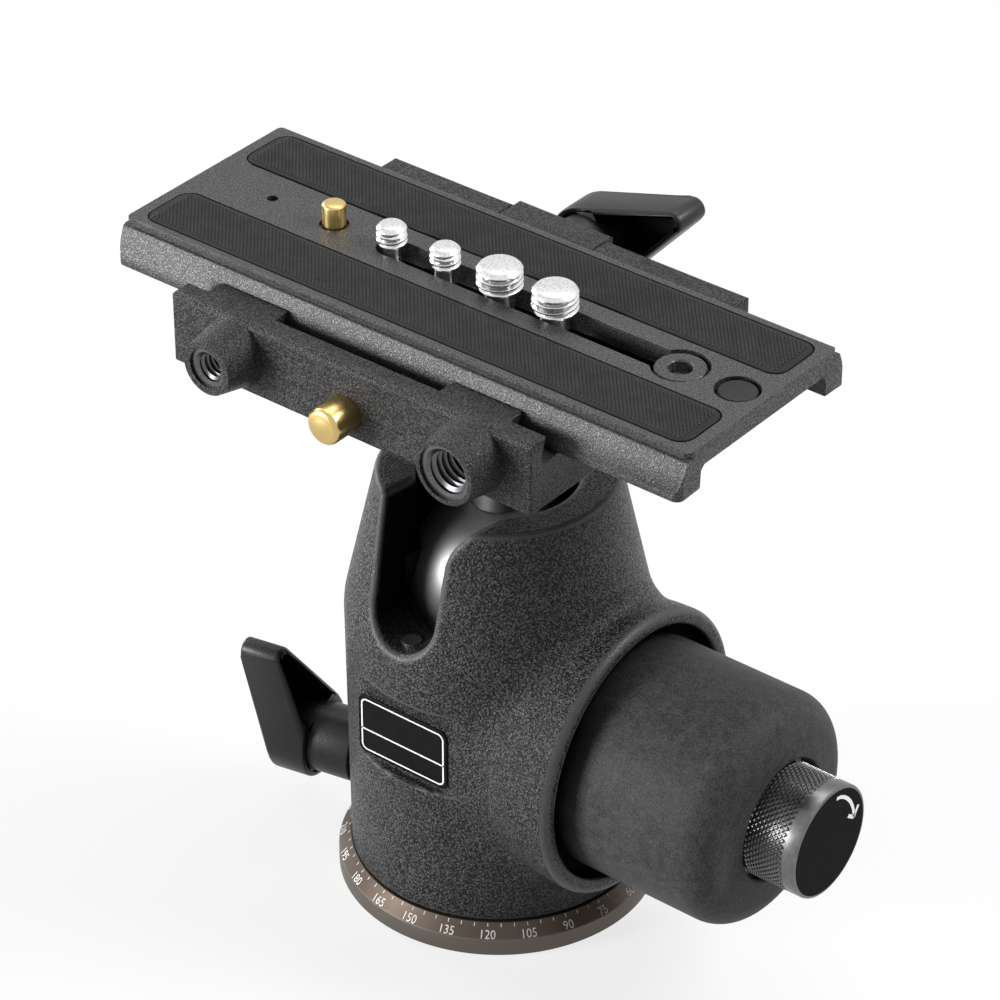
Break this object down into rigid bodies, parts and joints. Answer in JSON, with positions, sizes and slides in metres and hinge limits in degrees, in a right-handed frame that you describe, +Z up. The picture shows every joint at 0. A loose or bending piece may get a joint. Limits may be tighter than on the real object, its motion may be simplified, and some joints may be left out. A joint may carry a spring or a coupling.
{
  "type": "ball head",
  "caption": "Camera ball head with hydraulic lock knob and friction dial, panning base with degree scale, drop notch and a sliding quick-release plate.",
  "frame": {"origin": "centre of the base's underside, in the mouth of the tripod thread", "axes": "+Z up along the pan axis, +X along the lock knob and the plate, -Y towards the drop notch and side threads"},
  "size_m": [0.163, 0.1002, 0.1486],
  "materials": {
    "coat_black": "matte",
    "coat_adapter": "matte",
    "coat_plate": "matte",
    "coat_lever": "satin",
    "anodised_brown": "satin",
    "ball_metal": "satin",
    "dial_metal": "satin",
    "bare_aluminium": "satin",
    "steel": "satin",
    "screw_steel": "polished",
    "brass": "satin",
    "knob_rubber": "matte",
    "grip_rubber": "matte",
    "cap_plastic": "satin",
    "seat_plastic": "satin"
  },
  "bodies": {
    "base": {"base_disc": "anodised_brown", "thread_insert": "steel", "pan_spindle": "steel", "retaining_ring": "steel"},
    "housing": {"housing": "coat_black", "thrust_washer": "seat_plastic", "pan_bearing": "brass", "pan_lock_bush": "steel", "cylinder_plug": "bare_aluminium", "ball_seat": "seat_plastic", "notch_stop": "steel", "lock_bush": "steel", "ball_cup": "bare_aluminium", "cup_seal": "grip_rubber"},
    "pan_lever": {"pan_lever": "coat_lever", "pan_screw": "steel"},
    "brake_pad": {"brake_pad": "brass"},
    "master_piston": {"master_piston": "bare_aluminium", "master_seal": "grip_rubber"},
    "lock_knob": {"lock_shaft": "steel", "knob_core": "bare_aluminium", "knob_rubber": "knob_rubber"},
    "friction_knob": {"friction_dial": "dial_metal", "friction_cap": "cap_plastic", "friction_rod": "steel"},
    "ball": {"ball": "ball_metal"},
    "stem": {"stem": "ball_metal", "stem_flange": "ball_metal", "stem_stud": "steel"},
    "adapter": {"adapter_body": "coat_adapter", "side_insert_small": "steel", "side_insert_large": "steel", "button_spring": "steel"},
    "safety_button": {"safety_button": "brass"},
    "clamp_jaw": {"clamp_jaw": "coat_adapter", "jaw_guides": "steel"},
    "clamp_lever": {"clamp_lever": "coat_lever", "clamp_screw": "steel"},
    "plate": {"plate": "coat_plate", "grip_strip_front": "grip_rubber", "grip_strip_rear": "grip_rubber", "slot_end_disc": "coat_plate", "end_plug": "grip_rubber", "pin_cap": "steel", "pin_spring": "steel"},
    "video_pin": {"video_pin": "brass"},
    "small_screw_1": {"small_screw_1": "screw_steel"},
    "small_screw_2": {"small_screw_2": "screw_steel"},
    "large_screw_1": {"large_screw_1": "screw_steel"},
    "large_screw_2": {"large_screw_2": "screw_steel"}
  },
  "joints": [
    {"name": "pan", "type": "hinge", "parent": "base", "child": "housing", "pos_m": [0, 0, 0], "axis": [0, 0, 1], "continuous": true},
    {"name": "pan_lock_turn", "type": "hinge", "parent": "housing", "child": "pan_lever", "pos_m": [0, 0, 0.0175], "axis": [-0.9806, -0.1959, 0], "range_deg": [-60, 60]},
    {"name": "brake_pad_slide", "type": "slide", "parent": "housing", "child": "brake_pad", "axis": [-0.9806, -0.1959, 0], "range_m": [-0.00022, 0.00022]},
    {"name": "lock_turn", "type": "hinge", "parent": "housing", "child": "lock_knob", "pos_m": [0.05, 0, 0.045], "axis": [1, 0, 0], "range_deg": [-270, 30]},
    {"name": "friction_turn", "type": "hinge", "parent": "lock_knob", "child": "friction_knob", "pos_m": [0.08, 0, 0.045], "axis": [1, 0, 0], "range_deg": [-150, 150]},
    {"name": "master_slide", "type": "slide", "parent": "housing", "child": "master_piston", "axis": [1, 0, 0], "range_m": [-0.00132, 0.00016]},
    {"name": "tilt_side", "type": "hinge", "parent": "housing", "child": "ball", "pos_m": [0, 0, 0.075], "axis": [0.0698, 0.9976, 0], "range_deg": [-14, 14]},
    {"name": "tilt_drop", "type": "hinge", "parent": "ball", "child": "stem", "pos_m": [0, 0, 0.075], "axis": [0.9976, -0.0698, 0], "range_deg": [-14, 78]},
    {"name": "spin", "type": "hinge", "parent": "stem", "child": "adapter", "pos_m": [0, 0, 0.075], "axis": [0, 0, 1], "continuous": true},
    {"name": "button_press", "type": "slide", "parent": "adapter", "child": "safety_button", "axis": [0, 1, 0], "range_m": [0, 0.004], "stiffness_N_per_m": 400, "springref_m": -0.003, "deforming": ["button_spring"]},
    {"name": "jaw_slide", "type": "slide", "parent": "adapter", "child": "clamp_jaw", "axis": [0, 1, 0], "range_m": [-0.00008, 0.0014]},
    {"name": "clamp_turn", "type": "hinge", "parent": "clamp_jaw", "child": "clamp_lever", "pos_m": [-0.0118, 0.04, 0.12725], "axis": [0, 1, 0], "range_deg": [0, 60]},
    {"name": "plate_slide", "type": "slide", "parent": "adapter", "child": "plate", "axis": [1, 0, 0], "range_m": [-0.03, 0.03]},
    {"name": "video_pin_press", "type": "slide", "parent": "plate", "child": "video_pin", "axis": [0, 0, -1], "range_m": [0, 0.0045], "stiffness_N_per_m": 300, "springref_m": -0.002, "deforming": ["pin_spring"]},
    {"name": "small_screw_1_turn", "type": "hinge", "parent": "plate", "child": "small_screw_1", "pos_m": [-0.0275, 0, 0.14], "axis": [0, 0, 1], "continuous": true},
    {"name": "small_screw_2_turn", "type": "hinge", "parent": "plate", "child": "small_screw_2", "pos_m": [-0.0136, 0, 0.14], "axis": [0, 0, 1], "continuous": true},
    {"name": "large_screw_1_turn", "type": "hinge", "parent": "plate", "child": "large_screw_1", "pos_m": [0.0003, 0, 0.14], "axis": [0, 0, 1], "continuous": true},
    {"name": "large_screw_2_turn", "type": "hinge", "parent": "plate", "child": "large_screw_2", "pos_m": [0.0142, 0, 0.14], "axis": [0, 0, 1], "continuous": true}
  ],
  "couplings": [
    {"joint": "brake_pad_slide", "follows": "pan_lock_turn", "m_per_rad": 0.00019894},
    {"joint": "master_slide", "follows": "lock_turn", "m_per_rad": 0.00027852},
    {"joint": "jaw_slide", "follows": "clamp_turn", "m_per_rad": 0.0011459}
  ]
}
